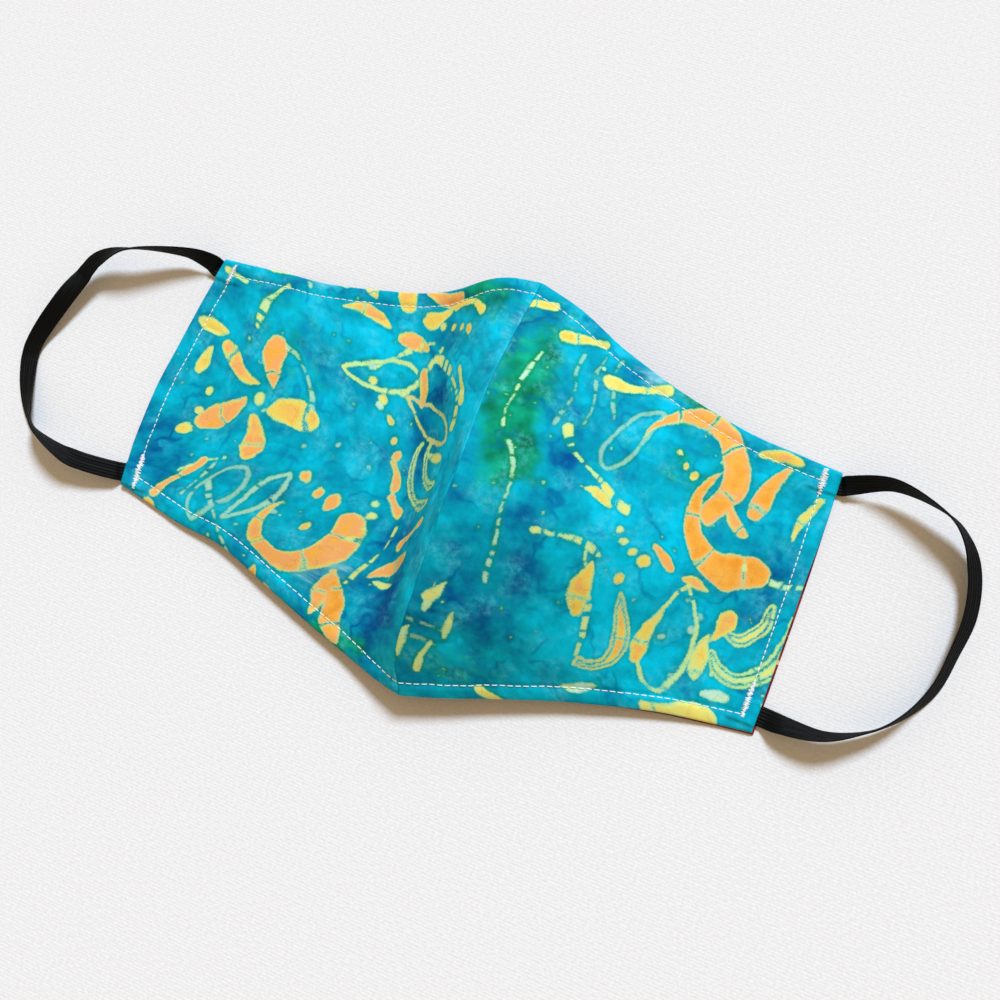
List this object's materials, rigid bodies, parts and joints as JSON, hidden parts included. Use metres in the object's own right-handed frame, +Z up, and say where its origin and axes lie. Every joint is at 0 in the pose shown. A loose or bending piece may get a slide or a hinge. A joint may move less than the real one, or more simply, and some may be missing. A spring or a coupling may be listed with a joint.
{
  "type": "cloth face mask",
  "caption": "Contoured cloth face mask lying open side down, with a raised centre seam, printed outer panels, a lining and a flat elastic ear loop at each side.",
  "frame": {"origin": "middle of the footprint, on the surface that the mask lies on", "axes": "+X along the mask's width, from the side with the sunken valley to the side that slopes evenly; +Y from the chin edge to the nose edge; +Z up, away from the surface"},
  "size_m": [0.354, 0.1474, 0.0437],
  "materials": {
    "printed_cotton": "matte plain-weave cotton, batik dyed in turquoise and blue with yellow and orange motifs",
    "lining_cotton": "matte plain-weave cotton, dyed dark red",
    "black_elastic": "matte black braided elastic with fine ribs along it"
  },
  "bodies": {
    "root": {"lining_left": "lining_cotton", "outer_panel_left": "printed_cotton", "ear_loop_left": "black_elastic", "lining_right": "lining_cotton", "outer_panel_right": "printed_cotton", "ear_loop_right": "black_elastic"}
  },
  "joints": []
}
